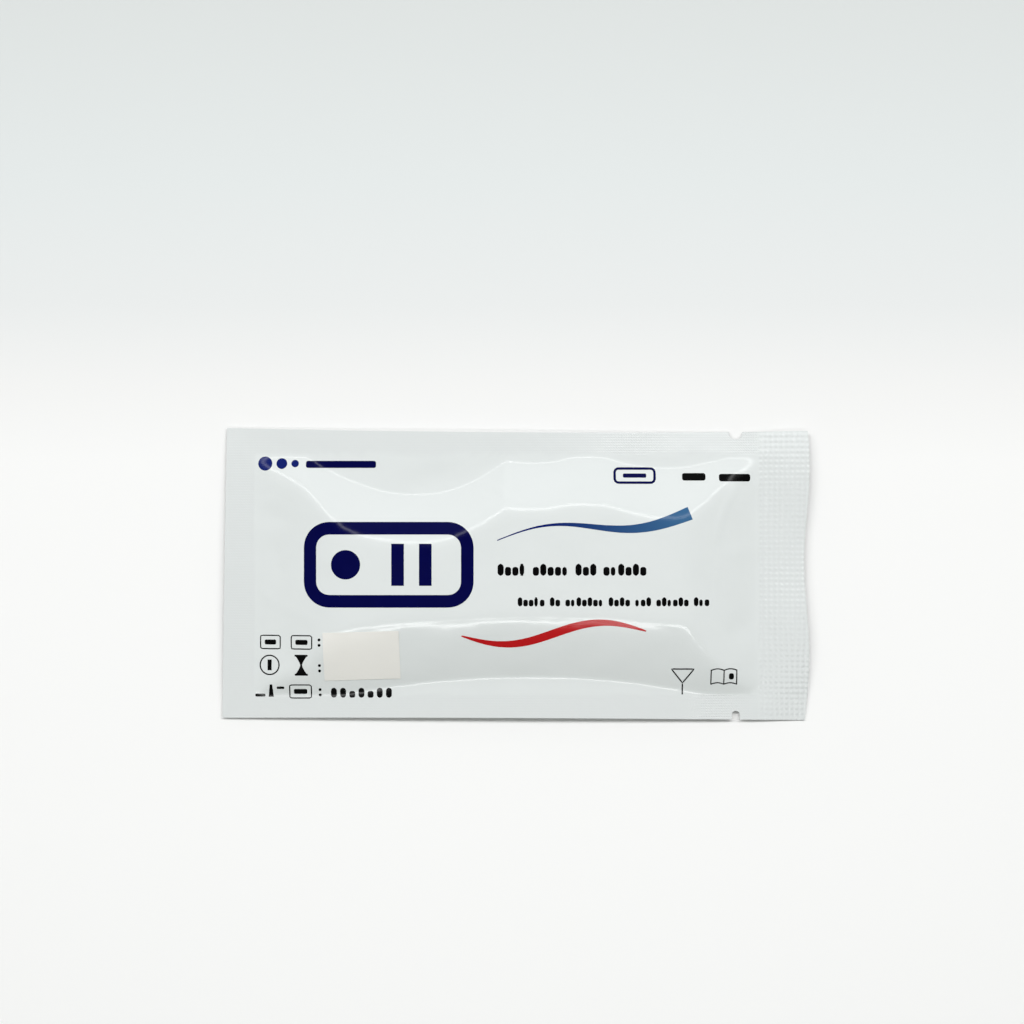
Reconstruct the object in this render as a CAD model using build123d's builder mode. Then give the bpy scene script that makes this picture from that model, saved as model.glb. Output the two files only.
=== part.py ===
from build123d import *
import math
import os

# Sealed film pouch of a one-use rapid test, lying on its back.
# Two sheets of laminated film are welded together on all four sides around a flat test.
# The front film stands over the contents as a tent: its slopes rise from the welded seals,
# meet in hips and end in a nearly level roof. Where the film pulled in while the pouch was
# filled, the foot of the upper slope swings away from its seal in shallow arcs.
# X runs along the pouch with the tear end at +X, Y across it and Z up.
# The origin is under the middle of the outline, on the plane that the pouch rests on.

# Outline of the cut film
pouch_length = 140.0
pouch_width = 69.6
fill_edge_lean = 1.1  # the fill end's lower corner stands this much further out
upper_edge_tilt = 0.8  # the upper edge falls this much towards the tear end
upper_edge_sag = 0.7  # and bows this much towards the middle of the pouch
lower_edge_tilt = 0.6
lower_edge_sag = 0.35
tear_edge_wave = 0.6  # the tear edge swings this much each way
tear_edge_wave_length = 47.0
tear_edge_dip = 2.8  # where it draws in most, above the centre line
tear_edge_trim = 0.3  # the whole edge stands this much short of the nominal length

# Welded seals, measured in from the edges
seal_thickness = 0.25
fill_seal = 7.2
tear_seal = 11.6
side_seal = 5.9

# Round-rooted tear notches, punched through both side seals near the tear end
notch_from_edge = 17.2
lower_notch_width = 1.9
lower_notch_depth = 2.1
upper_notch_width = 3.2
upper_notch_depth = 1.8

# Lie of the seals: underside above the rest plane
corner_rise = 0.6
long_arch = 1.3  # extra rise of the side seals at mid length
end_arch = 0.9  # extra rise of the end seals at mid width
tear_wave = 0.4  # waves across the tear seal
tear_wave_length = 31.0
tear_wave_crest = 20.5
end_lie = 16.0  # length over which the end seals take up their own lie

# Tent of the front film over the contents
roof_height = 6.9  # above the rest plane
upper_slope = 0.43
lower_slope = 0.342
fill_slope = 0.25
tear_slope = 0.29
ridge_round = 0.42  # height over which the ridges and hips are rounded
foot_round = 0.09  # height over which the feet of the slopes are rounded
upper_foot_inset = 0.9  # the upper slope starts this far inside its seal

# Arcs in which the slopes' feet pull in from their seals: centre, depth, reach before and after
upper_pulls = [(-23.0, 9.0, 27.0, 21.5), (3.5, 1.4, 9.0, 9.5), (35.5, 2.6, 14.0, 15.0)]
lower_pulls = [(4.0, 4.3, 46.0, 42.0)]
pull_round = 0.35

# Bulge of the back film, pressed flat by what the pouch lies on
back_slope = 0.12
back_round = 0.12
flat_depth = 0.4  # the free bulge would reach this far below the rest plane

# Paper label stuck on the front film
label_length = 18.2
label_width = 11.6
label_thickness = 0.1
label_from_fill_edge = 33.1  # to its centre
label_from_lower_edge = 15.4
label_turn = 1.6  # degrees
glue_gap = 0.03

# Spans between the lines and points that the film surfaces run through
pouch_length_spans = 56
pouch_width_spans = 58
label_length_spans = 12
label_width_spans = 12

half_length = pouch_length / 2
half_width = pouch_width / 2
label_centre_x = label_from_fill_edge - half_length
label_centre_y = label_from_lower_edge - half_width


def soft_least(values, rounding):
    """The least of the values, with the corners between them rounded over that height."""
    least = min(values)
    return least - rounding * math.log(sum(math.exp((least - v) / rounding) for v in values))


def soft_rise(value, rounding):
    """The value where it is positive and zero elsewhere, with the corner rounded."""
    return value - soft_least([value, 0.0], rounding)


def smooth_step(value):
    """Runs from 0 to 1 and is level at both ends."""
    share = min(max(value, 0.0), 1.0)
    return share**3 * (10 - 15 * share + 6 * share**2)


def foot_distance(x, base, pulls):
    """Distance of a slope's foot from the pouch's centre line: the base line or a pull's arc."""
    lines = [base]
    for centre, depth, reach_before, reach_after in pulls:
        reach = reach_before if x < centre else reach_after
        lines.append(base - depth * (1 - ((x - centre) / reach) ** 2))
    return soft_least(lines, pull_round)


def seal_underside(x, y):
    """Height of the sealed film's lower side, as if the seals ran on under the contents."""
    across = 1 - (y / half_width) ** 2
    end_share = smooth_step((abs(x) - half_length + end_lie) / end_lie)
    height = corner_rise + long_arch * (1 - (x / half_length) ** 2) + end_arch * across * end_share
    if x > 0:
        turn = 2 * math.pi * (y - tear_wave_crest) / tear_wave_length
        height += tear_wave * math.cos(turn) * end_share
    return height


def front_height(x, y):
    """Height of the front film's outer side."""
    seal_top = seal_underside(x, y) + seal_thickness
    seal_line = half_width - side_seal
    roof = soft_least(
        [
            roof_height - seal_top,
            upper_slope * (foot_distance(x, seal_line - upper_foot_inset, upper_pulls) - y),
            lower_slope * (foot_distance(x, seal_line, lower_pulls) + y),
            fill_slope * (x + half_length - fill_seal),
            tear_slope * (half_length - tear_seal - x),
        ],
        ridge_round,
    )
    return seal_top + soft_rise(roof, foot_round)


def back_height(x, y):
    """Height of the back film's outer side, before the rest plane presses it flat."""
    underside = seal_underside(x, y)
    bulge = soft_least(
        [
            underside + flat_depth,
            back_slope * (half_width - side_seal - abs(y)),
            back_slope * (x + half_length - fill_seal),
            back_slope * (half_length - tear_seal - x),
        ],
        back_round,
    )
    return underside - soft_rise(bulge, back_round)


def label_underside(x, y):
    """Height of the label's glued side."""
    return front_height(x, y) + glue_gap


def label_top(x, y):
    """Height of the label's outer side."""
    return label_underside(x, y) + label_thickness


def pouch_place(along, across):
    """Point of the outline's patch: 0 to 1 from fill end to tear end and from lower to upper edge."""
    side = 2 * across - 1
    swing = 2 * math.pi * (half_width * side - tear_edge_dip) / tear_edge_wave_length
    fill_x = -half_length + fill_edge_lean * side / 2
    tear_x = half_length - tear_edge_trim - tear_edge_wave * math.cos(swing)
    bow = 4 * along * (1 - along)
    lower_y = -half_width - lower_edge_tilt * (along - 0.5) + lower_edge_sag * bow
    upper_y = half_width - upper_edge_tilt * (along - 0.5) - upper_edge_sag * bow
    return fill_x + (tear_x - fill_x) * along, lower_y + (upper_y - lower_y) * across


def label_place(along, across):
    """Point of the label's patch, turned about its own centre."""
    turn = math.radians(label_turn)
    dx = label_length * (along - 0.5)
    dy = label_width * (across - 0.5)
    return (
        label_centre_x + dx * math.cos(turn) - dy * math.sin(turn),
        label_centre_y + dx * math.sin(turn) + dy * math.cos(turn),
    )


def film_line(height, spots, shares):
    """The line over those spots on one film."""
    return Edge.make_spline([Vector(x, y, height(x, y)) for x, y in spots], parameters=shares)


def film_face(place, height, length_spans, width_spans):
    """One film over a patch: a surface through its cross lines and its two long edges."""
    along = [i / length_spans for i in range(length_spans + 1)]
    across = [j / width_spans for j in range(width_spans + 1)]
    cross_lines = [film_line(height, [place(a, c) for c in across], across) for a in along]
    long_edges = [film_line(height, [place(a, c) for a in along], along) for c in (0, 1)]
    return Face.make_gordon_surface(cross_lines, long_edges)


def film_layer(place, lower, upper, length_spans, width_spans):
    """The solid between two films, closed by a narrow face along each edge."""
    lower_face = film_face(place, lower, length_spans, width_spans)
    upper_face = film_face(place, upper, length_spans, width_spans)
    rims = [
        Face.make_surface_from_curves(edge, upper_face.edges().sort_by_distance(edge.center())[0])
        for edge in lower_face.edges()
    ]
    return Solid(Shell([lower_face, upper_face, *rims]))


notch_x = half_length - notch_from_edge
notch_share = (notch_x + half_length) / pouch_length
lower_notch_y = pouch_place(notch_share, 0)[1] + lower_notch_depth - lower_notch_width / 2
upper_notch_y = pouch_place(notch_share, 1)[1] - upper_notch_depth + upper_notch_width / 2

# The pouch: both films, cut level where it lies on the table, with its two notches
with BuildPart() as sealed_pouch:
    add(film_layer(pouch_place, back_height, front_height, pouch_length_spans, pouch_width_spans))
    split(bisect_by=Plane.XY, keep=Keep.TOP)
    with BuildSketch() as notches:
        with Locations((notch_x, lower_notch_y)):
            Circle(lower_notch_width / 2)
            Rectangle(lower_notch_width, side_seal, align=(Align.CENTER, Align.MAX))
        with Locations((notch_x, upper_notch_y)):
            Circle(upper_notch_width / 2)
            Rectangle(upper_notch_width, side_seal, align=(Align.CENTER, Align.MIN))
    extrude(amount=roof_height, mode=Mode.SUBTRACT)

# The label: a paper rectangle that follows the front film
with BuildPart() as blank_label:
    add(film_layer(label_place, label_underside, label_top, label_length_spans, label_width_spans))

sealed_pouch.part.label = "sealed_pouch"
blank_label.part.label = "blank_label"

os.makedirs("parts", exist_ok=True)
for piece in (sealed_pouch.part, blank_label.part):
    export_step(piece, f"parts/{piece.label}.step")
    print(piece.label, round(piece.volume, 2), piece.bounding_box())
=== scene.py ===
import math

import bpy
import numpy as np
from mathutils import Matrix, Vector


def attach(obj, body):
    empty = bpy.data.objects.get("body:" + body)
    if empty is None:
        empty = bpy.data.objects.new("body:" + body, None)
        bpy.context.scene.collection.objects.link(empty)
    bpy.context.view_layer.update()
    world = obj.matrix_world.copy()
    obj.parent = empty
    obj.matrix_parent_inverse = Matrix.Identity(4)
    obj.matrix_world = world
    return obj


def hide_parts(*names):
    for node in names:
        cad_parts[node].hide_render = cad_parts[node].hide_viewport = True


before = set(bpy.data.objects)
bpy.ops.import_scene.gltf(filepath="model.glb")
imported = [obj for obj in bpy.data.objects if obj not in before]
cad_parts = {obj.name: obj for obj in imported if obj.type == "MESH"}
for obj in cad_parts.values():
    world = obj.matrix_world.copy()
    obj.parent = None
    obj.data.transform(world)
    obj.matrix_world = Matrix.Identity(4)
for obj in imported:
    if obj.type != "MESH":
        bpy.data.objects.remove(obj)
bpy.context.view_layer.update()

# Shapes are worked out in millimetres, which become metres when a mesh is made. The stage is in metres.
MM = 0.001

# Camera: straight above the pouch, as far out as shows the photograph's surroundings
CAMERA_HEIGHT = 600.0
CAMERA_X = -0.96
CAMERA_Y = 14.97
FRAME_WIDTH = 246.06  # on the plane of the seals
FRAME_PLANE = 1.2
SENSOR = 36.0
CLIP_START = 10.0

camera_data = bpy.data.cameras.new("camera")
camera_data.sensor_width = SENSOR
camera_data.lens = SENSOR * (CAMERA_HEIGHT - FRAME_PLANE) / FRAME_WIDTH
camera_data.clip_start = CLIP_START * MM
camera = bpy.data.objects.new("camera", camera_data)
camera.location = (CAMERA_X * MM, CAMERA_Y * MM, CAMERA_HEIGHT * MM)
bpy.context.scene.collection.objects.link(camera)
bpy.context.scene.camera = camera
bpy.context.scene.view_settings.view_transform = "Standard"

# Outline of the cut film, its seals and its tear notches, with the part's own sizes
HALF_LENGTH = 70.0
HALF_WIDTH = 34.8
FILL_EDGE_LEAN = 1.1
UPPER_EDGE_TILT = 0.8
UPPER_EDGE_SAG = 0.7
LOWER_EDGE_TILT = 0.6
LOWER_EDGE_SAG = 0.35
TEAR_EDGE_WAVE = 0.6
TEAR_EDGE_WAVE_LENGTH = 47.0
TEAR_EDGE_DIP = 2.8
TEAR_EDGE_TRIM = 0.3
SEAL_THICKNESS = 0.25
FILL_SEAL = 7.2
TEAR_SEAL = 11.6
SIDE_SEAL = 5.9
SEAL_LINE = HALF_WIDTH - SIDE_SEAL
NOTCH_X = 52.8
LOWER_NOTCH = (1.9, 2.1)  # width, depth
UPPER_NOTCH = (3.2, 1.8)

# Lie of the seals, tent of the front film and bulge of the back, with the part's own sizes
CORNER_RISE = 0.6
LONG_ARCH = 1.3
FILL_ARCH = 0.9
END_LIE = 16.0
ROOF_HEIGHT = 6.9
UPPER_SLOPE = 0.43
LOWER_SLOPE = 0.342
FILL_SLOPE = 0.25
TEAR_SLOPE = 0.29
UPPER_FOOT_INSET = 0.9
UPPER_PULLS = ((-23.0, 9.0, 27.0, 21.5), (3.5, 1.4, 9.0, 9.5), (35.5, 2.6, 14.0, 15.0))
LOWER_PULLS = ((4.0, 4.3, 46.0, 42.0),)
PULL_ROUND = 0.35
BACK_SLOPE = 0.12
BACK_ROUND = 0.12
FLAT_DEPTH = 0.4

# Finer than the part: the tear seal's own lie, from its rise to its wave's crest, the fall of the upper
# seal's hem and where along the pouch it starts, the bow of the lower slope, and how softly the ridges and
# feet are rounded
TEAR_RISE = 0.5
TEAR_ARCH = 1.34
TEAR_LEAN = 0.82
TEAR_TWIST = 0.49
TEAR_WAVE = 0.64
TEAR_WAVE_LENGTH = 43.0
TEAR_WAVE_CREST = -14.6
HEM_FALL = 0.75
HEM_FALL_START = -5.0
HEM_FALL_LENGTH = 40.0
LOWER_BOW = 0.37
LOWER_BOW_LENGTH = 14.3
RIDGE_ROUND = 0.36
FOOT_ROUND = 0.15


def soft_least(values, rounding):
    """The least of several heights: minus rounding times the log of the sum of exp(-height / rounding)."""
    stack = np.stack(np.broadcast_arrays(*values))
    least = stack.min(axis=0)
    return least - rounding * np.log(np.exp((least - stack) / rounding).sum(axis=0))


def soft_rise(value, rounding):
    """The value where it is positive and zero elsewhere: it minus the rounded least of it and zero."""
    return value - soft_least([value, np.zeros_like(value)], rounding)


def smooth_step(share):
    """From 0 to 1, level at both ends: share cubed times (10 - 15 share + 6 share squared)."""
    share = np.clip(share, 0, 1)
    return share**3 * (10 - 15 * share + 6 * share**2)


def foot_distance(x, base, pulls):
    """Distance of a slope's foot from the centre line: the rounded least of a line and each pull's parabola.

    A pull is its place along the pouch, its depth and its reach before and after that place.
    """
    lines = [np.full_like(x, base)]
    for centre, depth, before, after in pulls:
        lines.append(base - depth * (1 - ((x - centre) / np.where(x < centre, before, after)) ** 2))
    return soft_least(lines, PULL_ROUND)


def upper_foot(x):
    """Foot of the upper slope, whose line runs inside the seal line by the inset."""
    return foot_distance(x, SEAL_LINE - UPPER_FOOT_INSET, UPPER_PULLS)


def lower_foot(x):
    """Foot of the lower slope, whose line is the seal line."""
    return foot_distance(x, SEAL_LINE, LOWER_PULLS)


def seal_underside(x, y):
    """Lower side of the sealed film.

    A parabola along it, one across each end with a leaning wave on the tear end, and the upper seal's fall,
    which grows evenly from the seal line to the hem.
    """
    side = y / HALF_WIDTH
    end_share = smooth_step((np.abs(x) - HALF_LENGTH + END_LIE) / END_LIE)
    wave = TEAR_WAVE * np.cos(2 * np.pi * (y - TEAR_WAVE_CREST) / TEAR_WAVE_LENGTH)
    tear_lie = TEAR_RISE + TEAR_ARCH * (1 - side**2) + TEAR_LEAN * side - TEAR_TWIST * side**3 + wave
    end_lie = np.where(x > 0, tear_lie, FILL_ARCH * (1 - side**2)) * end_share
    hem = np.maximum((y - SEAL_LINE) / SIDE_SEAL, 0.0)
    fall = HEM_FALL * hem * smooth_step((x - HEM_FALL_START) / HEM_FALL_LENGTH) * (1 - end_share)
    return CORNER_RISE + LONG_ARCH * (1 - (x / HALF_LENGTH) ** 2) + end_lie - fall


def roof_level(x, seal_top):
    """Heights over the seals of the roof and both end slopes, whose least is the tent away from its sides."""
    return [
        ROOF_HEIGHT - seal_top,
        FILL_SLOPE * (x + HALF_LENGTH - FILL_SEAL),
        TEAR_SLOPE * (HALF_LENGTH - TEAR_SEAL - x),
    ]


def front_film(x, y):
    """The tent: the rounded least of the roof, both side slopes and both end slopes, on the seals.

    The lower slope is bowed out by a parabola.
    """
    seal_top = seal_underside(x, y) + SEAL_THICKNESS
    upward = lower_foot(x) + y
    share = np.clip(upward / LOWER_BOW_LENGTH, 0, 1)
    lower_side = LOWER_SLOPE * upward + LOWER_BOW * 4 * share * (1 - share)
    upper_side = UPPER_SLOPE * (upper_foot(x) - y)
    roof = soft_least([*roof_level(x, seal_top), upper_side, lower_side], RIDGE_ROUND)
    return seal_top + soft_rise(roof, FOOT_ROUND)


def back_film(x, y):
    """The back's bulge below the seals, pressed flat at the rest plane."""
    underside = seal_underside(x, y)
    bulge = soft_least(
        [
            underside + FLAT_DEPTH,
            BACK_SLOPE * (SEAL_LINE - np.abs(y)),
            BACK_SLOPE * (x + HALF_LENGTH - FILL_SEAL),
            BACK_SLOPE * (HALF_LENGTH - TEAR_SEAL - x),
        ],
        BACK_ROUND,
    )
    return np.maximum(underside - soft_rise(bulge, BACK_ROUND), 0.0)


# Small relief that only the look needs. Dents and swellings: x, y, reach along, reach across, turn, height
SWELLINGS = (
    (-57.9, 14.0, 4.2, 2.2, -15, -0.22),
    (-59.6, 17.2, 2.0, 1.2, 20, 0.10),
    (-18.5, 23.4, 7.5, 2.6, 8, -0.30),
    (-17.5, 26.9, 1.0, 0.8, 0, 0.10),
    (-6.0, 26.2, 3.0, 1.6, 30, -0.12),
    (-52.0, -20.5, 4.5, 3.5, 35, -0.20),
    (53.0, 5.0, 3.2, 2.2, 0, 0.16),
    (52.6, 22.5, 2.4, 2.8, 10, -0.18),
    (53.3, -13.4, 2.8, 2.6, 0, -0.18),
    (57.4, -27.6, 3.4, 3.0, 0, -0.30),
    (-60.0, -2.5, 3.0, 5.0, 0, 0.10),
    (-57.0, 3.5, 2.0, 4.5, 12, -0.10),
)
# Faint creases: start, end, sideways bow, half width, height
CREASES = (
    (-5.3, 21.5, -1.7, 16.9, 0.3, 0.45, 0.09),
    (58.2, 27.0, 47.4, 4.6, -2.6, 0.9, 0.12),
    (47.4, 4.6, 53.0, -15.8, -1.6, 0.9, 0.10),
    (-62.0, -1.0, -51.0, 6.0, 0.8, 0.8, 0.07),
    (-62.0, -3.0, -50.0, -10.0, -1.0, 0.9, 0.08),
    (-61.5, 6.0, -53.5, 12.5, 0.5, 0.6, 0.05),
    (-47.0, -13.0, -53.0, -6.0, 0.5, 0.8, 0.05),
)
CREASE_FADE = 0.25  # of a crease's length, at each end
# Slow unevenness of the film over the contents: height, and for each way the waves' length, their bend and
# the bend's length
RIPPLE = 0.055
RIPPLE_ALONG = (3.7, 0.8, 5.1)
RIPPLE_ACROSS = (3.1, 0.9, 6.3)
RIPPLE_SHIFT = 1.3
RIPPLE_FADE = 4.0


def soft_relief(x, y):
    """Sum of turned bell curves, of creases that are bells across a bowed line, and of slow bent waves."""
    relief = np.zeros_like(x)
    for cx, cy, along, across, turn, height in SWELLINGS:
        angle = math.radians(turn)
        u = ((x - cx) * math.cos(angle) + (y - cy) * math.sin(angle)) / along
        v = ((y - cy) * math.cos(angle) - (x - cx) * math.sin(angle)) / across
        relief += height * np.exp(-(u**2) - v**2)
    for x0, y0, x1, y1, bow, half, height in CREASES:
        length = math.hypot(x1 - x0, y1 - y0)
        run = ((x - x0) * (x1 - x0) + (y - y0) * (y1 - y0)) / length**2
        side = ((y - y0) * (x1 - x0) - (x - x0) * (y1 - y0)) / length
        held = np.clip(run, 0, 1)
        fade = smooth_step(held / CREASE_FADE) * smooth_step((1 - held) / CREASE_FADE)
        relief += height * fade * np.exp(-(((side - 4 * bow * held * (1 - held)) / half) ** 2))
    along, bend, bend_length = RIPPLE_ALONG
    slow = np.sin(x / along + bend * np.sin(y / bend_length))
    across, bend, bend_length = RIPPLE_ACROSS
    slow = slow * np.sin(y / across + RIPPLE_SHIFT + bend * np.sin(x / bend_length))
    inside = np.minimum(SEAL_LINE - np.abs(y), HALF_LENGTH - 0.5 * (FILL_SEAL + TEAR_SEAL) - np.abs(x))
    return relief + RIPPLE * slow * smooth_step(inside / RIPPLE_FADE)


# Knurl of the tear seal
KNURL_ALONG = 1.25
KNURL_ACROSS = 1.285
KNURL_DEPTH = 0.12
KNURL_MEAN = 0.25  # of the studs, taken off so that the seal keeps its level
KNURL_BORDER = 0.5


def knurl(x, y):
    """Rows of rounded studs: the product of two raised cosines, faded in at the seal's inner line."""
    studs = 0.5 + 0.5 * np.cos(2 * np.pi * x / KNURL_ALONG)
    studs = studs * (0.5 + 0.5 * np.cos(2 * np.pi * y / KNURL_ACROSS))
    return KNURL_DEPTH * (studs - KNURL_MEAN) * smooth_step((x - HALF_LENGTH + TEAR_SEAL) / KNURL_BORDER)


def front(x, y):
    """Height of the front film without its knurl: the tent and the small relief, added."""
    return front_film(x, y) + soft_relief(x, y)


def outline_sides(along):
    """Lower and upper edge of the cut film: tilted lines that bow by a parabola."""
    bow = 4 * along * (1 - along)
    lower = -HALF_WIDTH - LOWER_EDGE_TILT * (along - 0.5) + LOWER_EDGE_SAG * bow
    upper = HALF_WIDTH - UPPER_EDGE_TILT * (along - 0.5) - UPPER_EDGE_SAG * bow
    return lower, upper


def outline_x(along, across):
    """Place between the leaning fill edge and the tear edge, which swings as a cosine."""
    side = 2 * across - 1
    swing = 2 * np.pi * (HALF_WIDTH * side - TEAR_EDGE_DIP) / TEAR_EDGE_WAVE_LENGTH
    fill_x = -HALF_LENGTH + FILL_EDGE_LEAN * side / 2
    tear_x = HALF_LENGTH - TEAR_EDGE_TRIM - TEAR_EDGE_WAVE * np.cos(swing)
    return fill_x + (tear_x - fill_x) * along


def notch_inset(x, notch):
    """How far a notch cuts in from the edge at x: straight walls on a half round root."""
    width, depth = notch
    radius = width / 2
    root = np.sqrt(np.maximum(radius**2 - (x - NOTCH_X) ** 2, 0.0))
    return np.where(np.abs(x - NOTCH_X) < radius, depth - radius + root, 0.0)


# Steps of the film's grid, and its rows on each seal, slope and fold and on the roof
COLUMN_STEP = 0.55
KNURL_STEP = 0.2
FOLD_STEP = 0.16
FOLD_ROWS = 4
SEAL_ROWS = 9
SLOPE_ROWS = 12
ROOF_ROWS = 34
LEAST_LEVEL = 1.2  # of the tent, where the ridges' rows follow it down at the ends
LEAST_GAP = 0.06  # between an even column and one of a notch's own
SAME_PLACE = 0.0015  # two of the notches' own columns closer than this are one
NOTCH_FADE = 5.0  # from the edge, where the rows run straight again
NOTCH_WALL = 0.004  # on each side of a notch's wall, where its two columns stand
NOTCH_TURNS = 15


def notch_columns(across, notch):
    """Shares along the pouch at which columns meet a notch: its two walls, doubled, and its round root."""
    radius = notch[0] / 2
    turns = np.linspace(0, np.pi, NOTCH_TURNS)[1:-1]
    places = np.concatenate(
        [
            [-radius - NOTCH_WALL, -radius + NOTCH_WALL],
            -radius * np.cos(turns),
            [radius - NOTCH_WALL, radius + NOTCH_WALL],
        ]
    )
    start, end = outline_x(np.array([0.0, 1.0]), across)
    return (NOTCH_X + places - start) / (end - start)


def column_shares():
    """Even columns up to the tear seal, with those nearest the notches' own columns left out."""
    tear_share = (2 * HALF_LENGTH - TEAR_SEAL) / (2 * HALF_LENGTH)
    even = np.linspace(0, tear_share, round((2 * HALF_LENGTH - TEAR_SEAL) / COLUMN_STEP) + 1)
    notches = np.concatenate([notch_columns(0.0, LOWER_NOTCH), notch_columns(1.0, UPPER_NOTCH)])
    apart = SAME_PLACE / (2 * HALF_LENGTH)
    kept = [n for k, n in enumerate(notches) if k == 0 or np.abs(notches[:k] - n).min() > apart]
    far = np.abs(even[:, None] - notches[None, :]).min(axis=1) > LEAST_GAP / (2 * HALF_LENGTH)
    ends = (even == even[0]) | (even == even[-1])
    return np.unique(np.concatenate([even[far | ends], kept]))


def film_rows(along):
    """Rows at one or more columns: edge, seal, foot, slope and ridge lines, closer together at each fold.

    The ridges stand inside their feet by the tent's level over the slope, and so follow the hips too.
    """
    x = -HALF_LENGTH + 2 * HALF_LENGTH * along
    lower, upper = outline_sides(along)
    level = np.minimum.reduce(roof_level(x, seal_underside(x, np.zeros_like(x)) + SEAL_THICKNESS))
    level = np.maximum(level, LEAST_LEVEL)
    marks = [
        -lower_foot(x),
        -lower_foot(x) + level / LOWER_SLOPE,
        upper_foot(x) - level / UPPER_SLOPE,
        upper_foot(x),
    ]
    fold = FOLD_STEP * FOLD_ROWS
    rows = []
    start = lower
    for mark, count in zip(marks, (SEAL_ROWS, SLOPE_ROWS, ROOF_ROWS, SLOPE_ROWS)):
        rows += [start + (mark - fold - start) * k / count for k in range(count)]
        rows += [mark + FOLD_STEP * k for k in range(-FOLD_ROWS, FOLD_ROWS)]
        start = mark + fold
    rows += [start + (upper - start) * k / SEAL_ROWS for k in range(SEAL_ROWS + 1)]
    return np.stack(rows, axis=-1)


def notched(x, y, lower, upper):
    """Shifts the rows near an edge by the notch's depth there, less with the distance from the edge."""
    up = notch_inset(x, LOWER_NOTCH) * np.clip(1 - (y - lower) / NOTCH_FADE, 0, 1)
    down = notch_inset(x, UPPER_NOTCH) * np.clip(1 - (upper - y) / NOTCH_FADE, 0, 1)
    return y + up - down


def grid_quads(columns, rows, first=0):
    """Four corners of each cell of a grid whose vertices run row by row within each column."""
    corner = (np.arange(columns - 1)[:, None] * rows + np.arange(rows - 1)[None, :]).ravel() + first
    return np.stack([corner, corner + rows, corner + rows + 1, corner + 1], axis=1)


def rim_faces(loop, count):
    """Four corners of each cell between a closed line of the upper grid and the one count indices further."""
    ahead = np.roll(loop, -1)
    return np.stack([loop + count, ahead + count, ahead, loop], axis=1)


def layers(x, y, *heights):
    """The points of one grid at each of several heights."""
    return [np.stack([x.ravel(), y.ravel(), z.ravel()], axis=1) for z in heights]


SHARP_ANGLE = 50.0  # degrees


def make_mesh(name, places, faces):
    """A mesh object at the origin, from groups of places and of faces with three or four corners."""
    mesh = bpy.data.meshes.new(name)
    corners = [face for group in faces for face in group.tolist()]
    mesh.from_pydata((np.concatenate(places) * MM).tolist(), [], corners)
    mesh.validate()
    mesh.shade_smooth()
    mesh.set_sharp_from_angle(angle=math.radians(SHARP_ANGLE))
    piece = bpy.data.objects.new(name, mesh)
    bpy.context.scene.collection.objects.link(piece)
    return piece


def fine_rows(share):
    """Rows of the tear seal's fine grid: each step between two coarse rows is split into even parts.

    Gives the parts of each step, the step in which each fine row lies, and the fine rows' shares across.
    """
    coarse = film_rows(share)[0]
    lower, upper = outline_sides(share[0])
    across = (coarse - lower) / (upper - lower)
    parts = np.maximum(np.round(np.diff(coarse) / KNURL_STEP).astype(int), 1)
    step = np.repeat(np.arange(len(parts)), parts)
    part = np.concatenate([np.arange(count) / count for count in parts])
    return parts, step, np.append(across[step] + part * np.diff(across)[step], across[-1])


def fan_faces(first, parts, step):
    """Triangles from the coarse grid's last column to the fine grid's first, which starts at the index first.

    Each fine step joins the coarse row below it, and one more triangle closes each coarse step.
    """
    column = first - len(parts) - 1
    row = np.arange(len(step))
    fans = np.stack([column + step, first + row, first + row + 1], axis=1)
    start = column + np.arange(len(parts))
    closers = np.stack([start, first + np.cumsum(parts), start + 1], axis=1)
    return [fans, closers]


def film_piece():
    """The pouch: on both sides a coarse grid up to the tear seal and a fine one on it.

    Fans of triangles join the two grids, and a rim joins the two sides.
    """
    shares = column_shares()
    main_y = film_rows(shares[:-1])
    lower, upper = (edge[:, None] for edge in outline_sides(shares[:-1]))
    main_x = outline_x(shares[:-1, None], (main_y - lower) / (upper - lower))
    main_y = notched(main_x, main_y, lower, upper)

    parts, step, fine = fine_rows(shares[-1:])
    tear_shares = np.linspace(shares[-1], 1, round(TEAR_SEAL / KNURL_STEP) + 1)
    lower, upper = (edge[:, None] for edge in outline_sides(tear_shares))
    tear_x = outline_x(tear_shares[:, None], fine)
    tear_y = lower + (upper - lower) * fine

    x = np.concatenate([main_x.ravel(), tear_x.ravel()])
    y = np.concatenate([main_y.ravel(), tear_y.ravel()])
    studs = knurl(x, y)
    places = layers(x, y, front(x, y) + studs, np.maximum(back_film(x, y) + studs, 0.0))

    first = main_x.size
    upper_faces = [
        grid_quads(*main_x.shape),
        grid_quads(*tear_x.shape, first),
        *fan_faces(first, parts, step),
    ]
    lower_faces = [faces[:, ::-1] + x.size for faces in upper_faces]
    main = np.arange(first).reshape(main_x.shape)
    tear = first + np.arange(tear_x.size).reshape(tear_x.shape)
    loop = np.concatenate(
        [
            main[:, 0],
            tear[:, 0],
            tear[-1, 1:],
            tear[-2::-1, -1],
            main[::-1, -1],
            main[0, -2:0:-1],
        ]
    )
    piece = make_mesh("pouch_film", places, [*upper_faces, *lower_faces, rim_faces(loop, x.size)])
    add_seal_marks(piece, np.tile(x, 2), np.tile(y, 2))
    return piece


# Places where the ribs are pressed deeper: along the pouch, reach, and 1 on the upper seal or -1 on the lower
GLINTS = ((28.6, 6.0, 1), (56.0, 3.5, 1), (47.6, 5.0, -1))
GLINT_GAIN = 5.0
WELD_BORDER = 0.5  # width over which a mark fades at a seal's inner line


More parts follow.
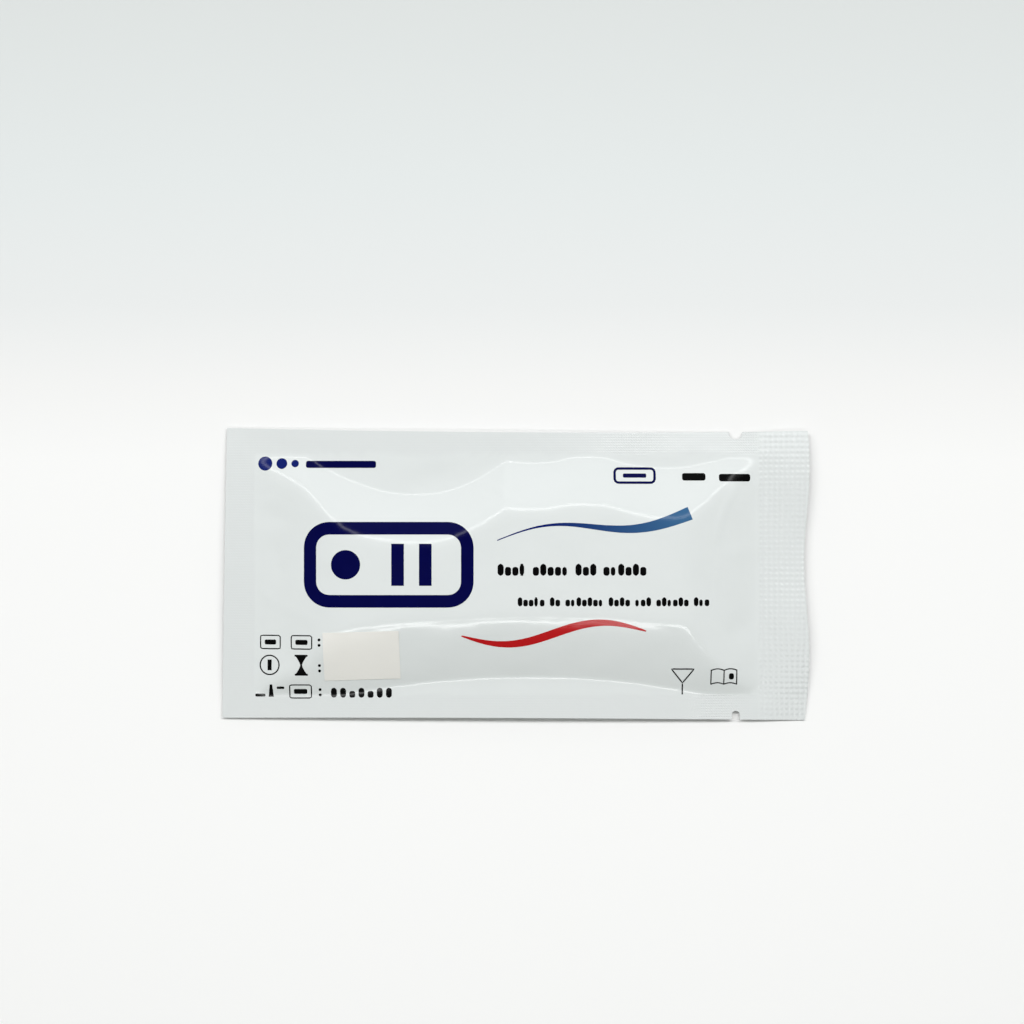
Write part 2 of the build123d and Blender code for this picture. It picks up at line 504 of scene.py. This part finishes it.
def add_seal_marks(piece, x, y):
    """Attributes of the film's points: weld is 1 on every seal, and ribs at least 1 on the ribbed ones.

    The ribs grow by a bell curve along the pouch at each glint.
    """
    side = smooth_step((np.abs(y) - SEAL_LINE) / WELD_BORDER + 0.5)
    fill = smooth_step((-x - HALF_LENGTH + FILL_SEAL) / WELD_BORDER + 0.5)
    tear = smooth_step((x - HALF_LENGTH + TEAR_SEAL) / WELD_BORDER + 0.5)
    ribs = np.maximum(side, fill) * (1 - tear)
    weld = np.maximum(ribs, tear)
    for near, reach, sign in GLINTS:
        ribs *= 1 + GLINT_GAIN * np.exp(-(((x - near) / reach) ** 2)) * (y * sign > 0)
    for name, values in (("weld", weld), ("ribs", ribs)):
        attribute = piece.data.attributes.new(name, "FLOAT", "POINT")
        attribute.data.foreach_set("value", values.astype(np.float32))


# Paper label, from the same sizes as the part
LABEL_LENGTH = 18.2
LABEL_WIDTH = 11.6
LABEL_THICKNESS = 0.1
LABEL_X = -36.9
LABEL_Y = -19.4
LABEL_TURN = 1.6  # degrees
GLUE_GAP = 0.03
LABEL_LIFT = 0.22  # of the corner that has come unstuck
LIFT_START = 0.62  # sum of the two shares from the middle at which the lift starts
LABEL_STEPS = (61, 41)


def slab_faces(columns, rows, first=0):
    """A closed slab of two grids, upper one first, and the rim between them."""
    count = columns * rows
    top = grid_quads(columns, rows, first)
    index = first + np.arange(count).reshape(columns, rows)
    loop = np.concatenate([index[:, 0], index[-1, 1:], index[-2::-1, -1], index[0, -2:0:-1]])
    return [top, top[:, ::-1] + count, rim_faces(loop, count)]


def ring_faces(columns, rows, first=0):
    """As slab_faces, for a grid whose last column joins its first."""
    count = columns * rows
    start = np.arange(columns)[:, None] * rows + np.arange(rows - 1)[None, :]
    ahead = np.roll(np.arange(columns), -1)[:, None] * rows + np.arange(rows - 1)[None, :]
    top = np.stack([start, ahead, ahead + 1, start + 1], axis=-1).reshape(-1, 4) + first
    inner = first + np.arange(columns) * rows
    outer = inner + rows - 1
    return [top, top[:, ::-1] + count, rim_faces(inner, count), rim_faces(outer, count)[:, ::-1]]


def label_piece():
    """The label: a turned rectangle on the film; one corner is lifted by the square of the nearness to it."""
    turn = math.radians(LABEL_TURN)
    u, v = np.meshgrid(*(np.linspace(-0.5, 0.5, steps) for steps in LABEL_STEPS), indexing="ij")
    x = LABEL_X + LABEL_LENGTH * u * math.cos(turn) - LABEL_WIDTH * v * math.sin(turn)
    y = LABEL_Y + LABEL_LENGTH * u * math.sin(turn) + LABEL_WIDTH * v * math.cos(turn)
    lift = LABEL_LIFT * np.clip((u + v) - LIFT_START, 0, 1) ** 2 / (1 - LIFT_START) ** 2
    under = front(x, y) + GLUE_GAP + lift
    return make_mesh("paper_label", layers(x, y, under + LABEL_THICKNESS, under), slab_faces(*x.shape))


# Print: thin layers of ink that follow the film, from just under it to just over it
INK_RISE = 0.022
INK_ROOT = 0.03
INK_STEP = 0.55
BAR_ROUND = 0.6  # of half a bar's height, at its ends
BAR_TURNS = 5
CORNER_TURNS = 9
LEAST_DISC_STEPS = 6
LEAST_LOOP_STEPS = 24

# Rows of blocks: which are tall and how much, what share of the pitch a wide block, a narrow one and the
# extra gap after a group take, and which blocks are narrow
TALL_BLOCKS = (1, 0, 0, 1, 0, 1, 0, 0, 0, 1, 0)
TALL = 1.36
WIDE, NARROW, GAP = 0.84, 0.62, 0.8
NARROW_EVERY, NARROW_FIRST = 5, 3


class Ink:
    """Collects the marks of one colour as closed layers on the film."""

    def __init__(self):
        self.places = []
        self.faces = []
        self.count = 0

    def add(self, x, y, faces_of=slab_faces):
        """A closed layer over a grid: the film's height plus the rise above, minus the root below."""
        film = front(x, y)
        self.places += layers(x, y, film + INK_RISE, film - INK_ROOT)
        self.faces += faces_of(*x.shape, self.count)
        self.count += 2 * x.size

    def piece(self, name):
        return make_mesh(name, self.places, self.faces)

    def bar(self, x0, x1, y, height):
        """A level bar whose ends are rounded: its half height rises there as a quarter circle."""
        half = height / 2
        radius = BAR_ROUND * half
        turn = np.linspace(0, np.pi / 2, BAR_TURNS)
        left = x0 + radius * (1 - np.cos(turn))
        rise = half - radius * (1 - np.sin(turn))
        steps = max(round((x1 - x0 - 2 * radius) / INK_STEP), 1)
        middle = np.linspace(x0 + radius, x1 - radius, steps + 1)[1:-1]
        x = np.concatenate([left, middle, (x0 + x1 - left)[::-1]])
        self.band(x, np.full_like(x, y), np.concatenate([rise, np.full_like(middle, half), rise[::-1]]))

    def band(self, x, y, half):
        """A band along an open path: points go sideways, square to the path, by up to its half width."""
        run_x, run_y = np.gradient(x), np.gradient(y)
        size = np.hypot(run_x, run_y)
        across = np.linspace(-1, 1, max(round(2 * float(half.max()) / INK_STEP), 2) + 1)
        self.add(
            x[:, None] - (run_y / size * half)[:, None] * across,
            y[:, None] + (run_x / size * half)[:, None] * across,
        )

    def loop(self, x, y, half):
        """A band of even width along a closed path, which runs anticlockwise."""
        run_x, run_y = np.roll(x, -1) - np.roll(x, 1), np.roll(y, -1) - np.roll(y, 1)
        size = np.hypot(run_x, run_y)
        across = np.linspace(-half, half, max(round(2 * half / INK_STEP), 2) + 1)
        self.add(
            x[:, None] - (run_y / size)[:, None] * across,
            y[:, None] + (run_x / size)[:, None] * across,
            ring_faces,
        )

    def blocks(self, x, foot, groups, pitch, height):
        """Groups of upright blocks on one line, some taller and some narrower by turns of a fixed pattern."""
        count = 0
        for group in groups:
            for _ in range(group):
                full = height * (TALL if TALL_BLOCKS[count % len(TALL_BLOCKS)] else 1.0)
                share = NARROW if count % NARROW_EVERY == NARROW_FIRST else WIDE
                self.bar(x, x + share * pitch, foot + full / 2, full)
                x += pitch
                count += 1
            x += GAP * pitch

    def upright(self, x, foot, head, half, steps=8):
        """A straight upright band; its half width is one value or one for each step."""
        self.band(np.full(steps, x), np.linspace(foot, head, steps), np.broadcast_to(half, steps))

    def wave(self, start, length, height, rise, swing, half):
        """A band along a sine on a rising line, with a half width for each of its steps."""
        run = np.linspace(0, 1, len(half))
        self.band(start + length * run, height + rise * run + swing * np.sin(2 * np.pi * run), half)

    def disc(self, cx, cy, radius):
        """A square grid drawn to a disc: each side is shortened by the root of 1 - half the other squared."""
        side = np.linspace(-1, 1, max(round(2 * radius / INK_STEP), LEAST_DISC_STEPS) + 1)
        u, v = np.meshgrid(side, side, indexing="ij")
        self.add(cx + radius * u * np.sqrt(1 - v**2 / 2), cy + radius * v * np.sqrt(1 - u**2 / 2))


def rounded_box(cx, cy, width, height, corner):
    """Points of a rectangle's outline whose corners are quarter circles, anticlockwise."""
    arc = np.linspace(0, np.pi / 2, CORNER_TURNS)
    xs, ys = [], []
    signs = ((1, 1, 0), (-1, 1, 1), (-1, -1, 2), (1, -1, 3))
    for sx, sy, quarter in signs:
        turn = arc + quarter * np.pi / 2
        xs.append(cx + sx * (width / 2 - corner) + corner * np.cos(turn))
        ys.append(cy + sy * (height / 2 - corner) + corner * np.sin(turn))
    return even_loop(np.concatenate(xs), np.concatenate(ys))


def even_loop(x, y):
    """The same closed line with points at even steps along it."""
    x, y = np.append(x, x[0]), np.append(y, y[0])
    run = np.concatenate([[0], np.cumsum(np.hypot(np.diff(x), np.diff(y)))])
    steps = np.linspace(0, run[-1], max(round(run[-1] / INK_STEP), LEAST_LOOP_STEPS) + 1)[:-1]
    return np.interp(steps, run, x), np.interp(steps, run, y)


# Layout of the print, in millimetres from the middle of the pouch. A box is its centre, width, height and
# corner, a disc its centre and radius, a bar its two ends, its place across and its thickness, and an upright
# its place along, foot, head, half width and number of steps
TEST_BOX = (-30.4, 2.4, 37.6, 17.4, 4.6)
TEST_STROKE = 1.5  # half width
TEST_WELL = (-40.6, 2.4, 3.5)
TEST_LINES = ((-28.2, -2.6, 7.4, TEST_STROKE, 18), (-21.6, -2.6, 7.4, TEST_STROKE, 18))
LEFT_DOTS = ((-60.2, 26.6, 1.7), (-56.2, 26.6, 1.3), (-53.0, 26.6, 0.9))
LEFT_BAR = (-50.4, -33.6, 26.4, 1.7)
RIGHT_BOX = (28.4, 23.7, 9.6, 3.4, 0.9)
RIGHT_BOX_STROKE = 0.3
RIGHT_BOX_BAR = (25.6, 31.2, 23.7, 1.0)
RIGHT_BARS = ((39.8, 45.4, 23.4, 1.8), (48.6, 56.2, 23.2, 1.8))

# Waves: start, length, place across, rise and swing, then least half width, growth and the growth's power
WAVE_STEPS = 90
BLUE_WAVE = (-4.5, 46.0, 8.2, 6.5, 1.9)
BLUE_STROKE = (0.12, 1.5, 1.6)
RED_WAVE = (-13.0, 44.0, -14.6, 1.2, -2.3)
RED_STROKE = (0.15, 0.85, 0.8)

# Rows of blocks: start, foot, blocks in each group, pitch and height
BLOCK_ROWS = (
    (-4.4, -0.2, (4, 5, 3, 6), 1.75, 2.1),
    (0.4, -7.5, (5, 2, 7, 4, 3, 6, 3), 1.32, 1.6),
)

# Small shapes at the lower left. The three boxes have a centre and a width, and a bar inside
SMALL_BOXES = ((-58.9, -16.2, 4.8), (-51.3, -16.2, 5.0), (-51.7, -28.1, 5.2))
SMALL_BOX_HEIGHT = 3.2
SMALL_BOX_CORNER = 0.3
FINE_STROKE = 0.14
SMALL_BAR_INSET = 1.0
SMALL_BAR_HEIGHT = 1.2
DOT_PAIRS_X = -47.0
DOT_PAIRS_Y = (-16.2, -22.4, -28.3)
DOT_RISE = 0.65
DOT_RADIUS = 0.36
RING = (-59.1, -21.7, 2.3)
RING_STROKE = 0.16
RING_STEPS = 48
RING_BAR = (-59.1, -23.0, -20.4, 0.5, 6)
# A waisted shape: its centre, half height, least half width, growth of it and the power of that growth
WAIST = (-51.4, -21.7, 2.1, 0.22, 1.1, 1.4)
WAIST_STEPS = 19
WAIST_BARS = ((-53.0, -49.8, -24.0, 0.45), (-53.0, -49.8, -19.4, 0.45))
TAPER = (-58.8, -29.4, -26.4)
TAPER_STROKE = (0.62, 0.3)  # at its foot and head
TAPER_STEPS = 8
TAPER_BARS = ((-62.6, -60.2, -29.0, 0.7), (-57.4, -55.6, -27.2, 0.6))
STUB_HEIGHTS = (2.4, 2.4, 1.6, 2.4, 1.6, 2.4, 2.4)
STUB_FIRST = -44.4
STUB_FOOT = -29.6
STUB_PITCH = 2.2
STUB_WIDTH = 1.4

# Small shapes at the lower right: a triangle on a stem, and two leaves with the bar on one of them
TRIANGLE = ((39.9, 42.6, 37.2), (-26.0, -22.6, -22.6))
TRIANGLE_STROKE = 0.16
STEM = (39.9, -28.8, -26.2, TRIANGLE_STROKE)
LEAF_SPINE = 49.8
LEAF_WIDTH = 3.1
LEAF_LEVELS = (-26.3, -22.9)
LEAF_CURL = 0.35
LEAF_STEPS = 14
LEAF_SIDES = (-26.4, -22.8, FINE_STROKE)
LEAF_BAR = (51.0, 52.2, -24.4, 1.5)


def print_upper_row(navy, blue, black):
    """Dots, bars and a box along the upper slope."""
    for dot in LEFT_DOTS:
        blue.disc(*dot)
    navy.bar(*LEFT_BAR)
    navy.loop(*rounded_box(*RIGHT_BOX), RIGHT_BOX_STROKE)
    navy.bar(*RIGHT_BOX_BAR)
    for bar in RIGHT_BARS:
        black.bar(*bar)


def print_test(navy):
    """Outline of a test with its round well and two lines."""
    navy.loop(*rounded_box(*TEST_BOX), TEST_STROKE)
    navy.disc(*TEST_WELL)
    for line in TEST_LINES:
        navy.upright(*line)


def print_waves(blue, red):
    """Two waves: the blue one widens as a power of its run, the red one as a power of half a sine."""
    run = np.linspace(0, 1, WAVE_STEPS)
    least, growth, power = BLUE_STROKE
    blue.wave(*BLUE_WAVE, least + growth * run**power)
    least, growth, power = RED_STROKE
    red.wave(*RED_WAVE, least + growth * np.sin(np.pi * run) ** power)


def print_lower_left(black):
    """Boxes, dots, a ring, a shape whose width grows as a power from its waist, a taper and stubs."""
    for x, y, width in SMALL_BOXES:
        black.loop(*rounded_box(x, y, width, SMALL_BOX_HEIGHT, SMALL_BOX_CORNER), FINE_STROKE)
        reach = width / 2 - SMALL_BAR_INSET
        black.bar(x - reach, x + reach, y, SMALL_BAR_HEIGHT)
    for y in DOT_PAIRS_Y:
        black.disc(DOT_PAIRS_X, y - DOT_RISE, DOT_RADIUS)
        black.disc(DOT_PAIRS_X, y + DOT_RISE, DOT_RADIUS)
    x, y, radius = RING
    turn = 2 * np.pi * np.arange(RING_STEPS) / RING_STEPS
    black.loop(x + radius * np.cos(turn), y + radius * np.sin(turn), RING_STROKE)
    black.upright(*RING_BAR)
    x, y, half, least, growth, power = WAIST
    up = np.linspace(-1, 1, WAIST_STEPS)
    black.upright(x, y - half, y + half, least + growth * np.abs(up) ** power, WAIST_STEPS)
    black.upright(*TAPER, np.linspace(*TAPER_STROKE, TAPER_STEPS), TAPER_STEPS)
    for bar in WAIST_BARS + TAPER_BARS:
        black.bar(*bar)
    for k, height in enumerate(STUB_HEIGHTS):
        x = STUB_FIRST + STUB_PITCH * k
        black.bar(x, x + STUB_WIDTH, STUB_FOOT + height / 2, height)


def print_lower_right(black):
    """A triangle on a stem, and two leaves whose long sides bulge as half a sine."""
    black.loop(*even_loop(*np.array(TRIANGLE)), TRIANGLE_STROKE)
    black.upright(*STEM)
    share = np.linspace(0, 1, LEAF_STEPS)
    curl = LEAF_CURL * np.sin(np.pi * share)
    for side in (-1, 1):
        for y in LEAF_LEVELS:
            black.band(LEAF_SPINE + side * LEAF_WIDTH * share, y + curl, np.full(LEAF_STEPS, FINE_STROKE))
        black.upright(LEAF_SPINE + side * LEAF_WIDTH, *LEAF_SIDES)
    black.upright(LEAF_SPINE, *LEAF_SIDES)
    black.bar(*LEAF_BAR)


def print_marks():
    """The print: fields of colour and simple shapes, gathered by ink."""
    navy, blue, red, black = Ink(), Ink(), Ink(), Ink()
    print_upper_row(navy, blue, black)
    print_test(navy)
    print_waves(blue, red)
    for row in BLOCK_ROWS:
        black.blocks(*row)
    print_lower_left(black)
    print_lower_right(black)
    return navy, blue, red, black


class Nodes:
    """A material's or world's nodes, made and joined by short calls."""

    def __init__(self, holder):
        holder.use_nodes = True
        self.tree = holder.node_tree
        self.tree.nodes.clear()

    def add(self, kind, inputs=(), **settings):
        """A node with its settings; an input is a value, a socket or a node, whose first output is taken."""
        node = self.tree.nodes.new(kind)
        for name, value in settings.items():
            setattr(node, name, value)
        for name, value in dict(inputs).items():
            self.put(node.inputs[name], value)
        return node

    def put(self, socket, value):
        """Joins a socket, or a node's first output, to an input, or sets the input to a value."""
        if isinstance(value, bpy.types.Node):
            value = value.outputs[0]
        if isinstance(value, bpy.types.NodeSocket):
            self.tree.links.new(value, socket)
        else:
            socket.default_value = value

    def math(self, operation, *values):
        return self.add("ShaderNodeMath", dict(enumerate(values)), operation=operation)

    def share(self, value, low, high):
        """Where the value stands between low and high, from 0 to 1."""
        return self.add("ShaderNodeMapRange", {"Value": value, "From Min": low, "From Max": high})

    def mix(self, share, first, second):
        """The colour between two, each three values or a socket."""
        node = self.add("ShaderNodeMix", data_type="RGBA")
        sockets = {socket.identifier: socket for socket in [*node.inputs, *node.outputs]}
        self.put(sockets["Factor_Float"], share)
        for name, colour in (("A_Color", first), ("B_Color", second)):
            self.put(sockets[name], (*colour, 1.0) if isinstance(colour, tuple) else colour)
        return sockets["Result_Color"]

    def finish(self, shader, output="ShaderNodeOutputMaterial"):
        self.add(output, {"Surface": shader})


class Surface(Nodes):
    """The nodes of a new material, with the object's coordinates at hand."""

    def __init__(self, name):
        self.material = bpy.data.materials.new(name)
        super().__init__(self.material)
        self.spot = self.add("ShaderNodeTexCoord").outputs["Object"]
        self.x, self.y = self.add("ShaderNodeSeparateXYZ", {0: self.spot}).outputs[:2]

    def mark(self, name):
        """One of the marks that the film's points carry."""
        return self.add("ShaderNodeAttribute", attribute_name=name).outputs["Fac"]

    def noise(self, scale, detail=2.0):
        inputs = {"Vector": self.spot, "Scale": scale, "Detail": detail}
        return self.add("ShaderNodeTexNoise", inputs).outputs["Fac"]

    def bump(self, height, distance, before=None):
        """A normal tilted by the height's slope, over the bump before it where there is one."""
        inputs = {"Height": height, "Distance": distance, "Strength": 1.0}
        if before is not None:
            inputs["Normal"] = before
        return self.add("ShaderNodeBump", inputs)

    def finished(self, tone, roughness, refraction, normal=None):
        """The material, with one shader of that look."""
        look = {"Base Color": tone, "Roughness": roughness, "IOR": refraction}
        if normal is not None:
            look["Normal"] = normal
        self.finish(self.add("ShaderNodeBsdfPrincipled", look))
        return self.material


# Relief and haze of the film, in metres, with each noise's scale in waves per metre
RIB_PITCH = 0.62 * MM
COLUMN_PITCH = 0.60 * MM
RIB_HEIGHT = 0.006 * MM
CRINKLE_SCALE = 110.0
CRINKLE_HEIGHT = 0.2 * MM
GRAIN_SCALE = 2600.0
GRAIN_DETAIL = 3.0
GRAIN_HEIGHT = 0.004 * MM
HAZE_SCALE = 90.0
HAZE = 0.08
WELD_HAZE = 0.08

# Film, inks and paper: each has two tones that it varies between
FILM_TONE = (0.735, 0.765, 0.76)
FILM_SHADE = (0.715, 0.747, 0.742)
WELD_TONE = (0.70, 0.728, 0.725)
CLOUD_SCALE = 55.0
CLOUD_DETAIL = 3.0
FILM_ROUGHNESS = 0.08
FILM_REFRACTION = 1.4
NAVY_TONES = ((0.0003, 0.0006, 0.046), (0.0006, 0.0012, 0.058))
BLUE_TONES = ((0.004, 0.012, 0.13), (0.04, 0.125, 0.26))
BLUE_RUN = (8.0 * MM, 40.0 * MM)  # where along the pouch it goes from one tone to the other
RED_TONES = ((0.43, 0.008, 0.01), (0.50, 0.01, 0.012))
BLACK_TONES = ((0.0008, 0.0008, 0.001), (0.002, 0.002, 0.0022))
INK_SCALE = 400.0
INK_ROUGHNESS = 0.13
INK_REFRACTION = 1.36
PAPER_TONES = ((0.785, 0.775, 0.735), (0.81, 0.80, 0.76))
PAPER_SCALE = 240.0
PAPER_DETAIL = 4.0
PAPER_ROUGHNESS = 0.75
PAPER_REFRACTION = 1.4
FIBRE_SCALE = 1800.0
FIBRE_HEIGHT = 0.012 * MM


def film_finish(film, smoothest):
    """Roughness and normal of glossy film.

    The roughness is the smoothest plus a slow noise and an even haze on the welds. The normal has ribs on the
    welded sides, a sine across the pouch times half of one plus a sine along it, then a slow crinkle and a
    fine grain.
    """
    ribs = film.math("SINE", film.math("MULTIPLY", film.y, 2 * math.pi / RIB_PITCH))
    columns = film.math("SINE", film.math("MULTIPLY", film.x, 2 * math.pi / COLUMN_PITCH))
    broken = film.math("MULTIPLY", ribs, film.math("MULTIPLY_ADD", columns, 0.5, 0.5))
    ribbed = film.bump(film.math("MULTIPLY", broken, film.mark("ribs")), RIB_HEIGHT)
    crinkled = film.bump(film.noise(CRINKLE_SCALE), CRINKLE_HEIGHT, ribbed)
    grained = film.bump(film.noise(GRAIN_SCALE, GRAIN_DETAIL), GRAIN_HEIGHT, crinkled)
    haze = film.math("MULTIPLY", film.noise(HAZE_SCALE), HAZE)
    weld_haze = film.math("MULTIPLY", film.mark("weld"), WELD_HAZE)
    return film.math("ADD", film.math("ADD", haze, weld_haze), smoothest), grained


def film_material():
    """White print on glossy laminated film: a cloudy tone inside and an even one on the welds."""
    film = Surface("white_film")
    cloudy = film.mix(film.noise(CLOUD_SCALE, CLOUD_DETAIL), FILM_SHADE, FILM_TONE)
    tone = film.mix(film.mark("weld"), cloudy, WELD_TONE)
    roughness, normal = film_finish(film, FILM_ROUGHNESS)
    return film.finished(tone, roughness, FILM_REFRACTION, normal)


def ink_material(name, tones, run=None):
    """Printed ink with the film's relief; its tone changes along the run, or by a noise without one."""
    ink = Surface(name)
    share = ink.share(ink.x, *run) if run else ink.noise(INK_SCALE)
    roughness, normal = film_finish(ink, INK_ROUGHNESS)
    return ink.finished(ink.mix(share, *tones), roughness, INK_REFRACTION, normal)


def paper_material():
    """Uncoated paper: faint fibres and a cloudy tone."""
    paper = Surface("label_paper")
    tone = paper.mix(paper.noise(PAPER_SCALE, PAPER_DETAIL), *PAPER_TONES)
    fibres = paper.bump(paper.noise(FIBRE_SCALE, PAPER_DETAIL), FIBRE_HEIGHT)
    return paper.finished(tone, PAPER_ROUGHNESS, PAPER_REFRACTION, fibres)


# Stage: the ground's reach, how its painted shade runs from the near side to the far one, darkening it
# towards the far side, and the world's tones
FLOOR_REACH = 3.0
FLOOR_RUN = (-0.11, 0.14)
FLOOR_PAINTED_SHADE = (
    (0.0, (0.955, 0.955, 0.95)),
    (0.2, (0.94, 0.94, 0.935)),
    (0.55, (0.895, 0.895, 0.89)),
    (0.62, (0.845, 0.845, 0.84)),
    (0.70, (0.765, 0.78, 0.78)),
    (0.82, (0.715, 0.745, 0.745)),
    (1.0, (0.655, 0.68, 0.675)),
)
FLOOR_ROUGHNESS = 0.9
FLOOR_REFRACTION = 1.3
NEAR_SKY = (0.25, 0.28, 0.23)
FAR_SKY = (0.55, 0.56, 0.56)
TOP_SKY = (0.05, 0.051, 0.051)
SEEN_SKY = (0.86, 0.875, 0.875)
SKY_SPREAD = (-0.8, 0.8)  # between the near and the far tone
SKY_TOP = (0.25, 0.85)  # between the tone around and the tone above
# Name, place, size, watts, and whether the film mirrors it
LAMPS = (
    ("far_box", (0.0, 0.35, 0.74), (1.6, 0.28), 6.1, False),
    ("far_strip", (0.0, 0.34, 0.72), (1.6, 0.11), 2.4, True),
    ("near_strip", (0.0, -0.27, 0.74), (0.54, 0.06), 0.95, True),
)


def floor_material():
    """Pale ground with painted shade: a ramp of shades darkens it from the near side to the far one."""
    ground = Surface("ground")
    ramp = ground.add("ShaderNodeValToRGB", {"Fac": ground.share(ground.y, *FLOOR_RUN)})
    while len(ramp.color_ramp.elements) < len(FLOOR_PAINTED_SHADE):
        ramp.color_ramp.elements.new(0.5)
    for element, (place, shade) in zip(ramp.color_ramp.elements, FLOOR_PAINTED_SHADE):
        element.position = place
        element.color = (*shade, 1.0)
    return ground.finished(ramp, FLOOR_ROUGHNESS, FLOOR_REFRACTION)


def floor_piece():
    """A level square of ground under the pouch."""
    mesh = bpy.data.meshes.new("floor")
    corners = [(FLOOR_REACH * x, FLOOR_REACH * y, 0) for x, y in ((-1, -1), (1, -1), (1, 1), (-1, 1))]
    mesh.from_pydata(corners, [], [(0, 1, 2, 3)])
    floor = bpy.data.objects.new("floor", mesh)
    bpy.context.scene.collection.objects.link(floor)
    floor.data.materials.append(floor_material())


def world_light():
    """The world: dim above, paler around and palest on the far side, with a plain tone where it shows."""
    world = bpy.data.worlds.new("studio")
    bpy.context.scene.world = world
    nodes = Nodes(world)
    seen = nodes.add("ShaderNodeLightPath").outputs["Is Camera Ray"]
    way = nodes.add("ShaderNodeSeparateXYZ", {0: nodes.add("ShaderNodeTexCoord").outputs["Generated"]})
    around = nodes.mix(nodes.share(way.outputs[1], *SKY_SPREAD), NEAR_SKY, FAR_SKY)
    sky = nodes.mix(nodes.share(way.outputs[2], *SKY_TOP), around, TOP_SKY)
    tone = nodes.mix(seen, sky, SEEN_SKY)
    nodes.finish(nodes.add("ShaderNodeBackground", {"Color": tone, "Strength": 1.0}), "ShaderNodeOutputWorld")


def area_light(name, place, size, watts, mirrored):
    """A lamp that faces the pouch."""
    data = bpy.data.lights.new(name, "AREA")
    data.shape = "RECTANGLE"
    data.size, data.size_y = size
    data.energy = watts
    lamp = bpy.data.objects.new(name, data)
    lamp.location = place
    lamp.visible_glossy = mirrored
    lamp.rotation_euler = Vector(place).to_track_quat("Z", "Y").to_euler()
    bpy.context.scene.collection.objects.link(lamp)


def studio():
    """Ground, world and lamps: a soft box from the far side and two strips that the film's folds glint in."""
    floor_piece()
    world_light()
    for lamp in LAMPS:
        area_light(*lamp)


def dress(piece, material, slot_name, *nodes):
    """Gives a piece its material and body, and hides the CAD nodes that it stands for. The slot name is not
    used.
    """
    piece.data.materials.append(material)
    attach(piece, "root")
    if nodes:
        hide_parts(*nodes)


dress(film_piece(), film_material(), "film", "sealed_pouch")
dress(label_piece(), paper_material(), "label", "blank_label")
navy, blue, red, black = print_marks()
dress(navy.piece("print_navy"), ink_material("navy_ink", NAVY_TONES), "film")
dress(blue.piece("print_blue"), ink_material("blue_ink", BLUE_TONES, BLUE_RUN), "film")
dress(red.piece("print_red"), ink_material("red_ink", RED_TONES), "film")
dress(black.piece("print_black"), ink_material("black_ink", BLACK_TONES), "film")
studio()
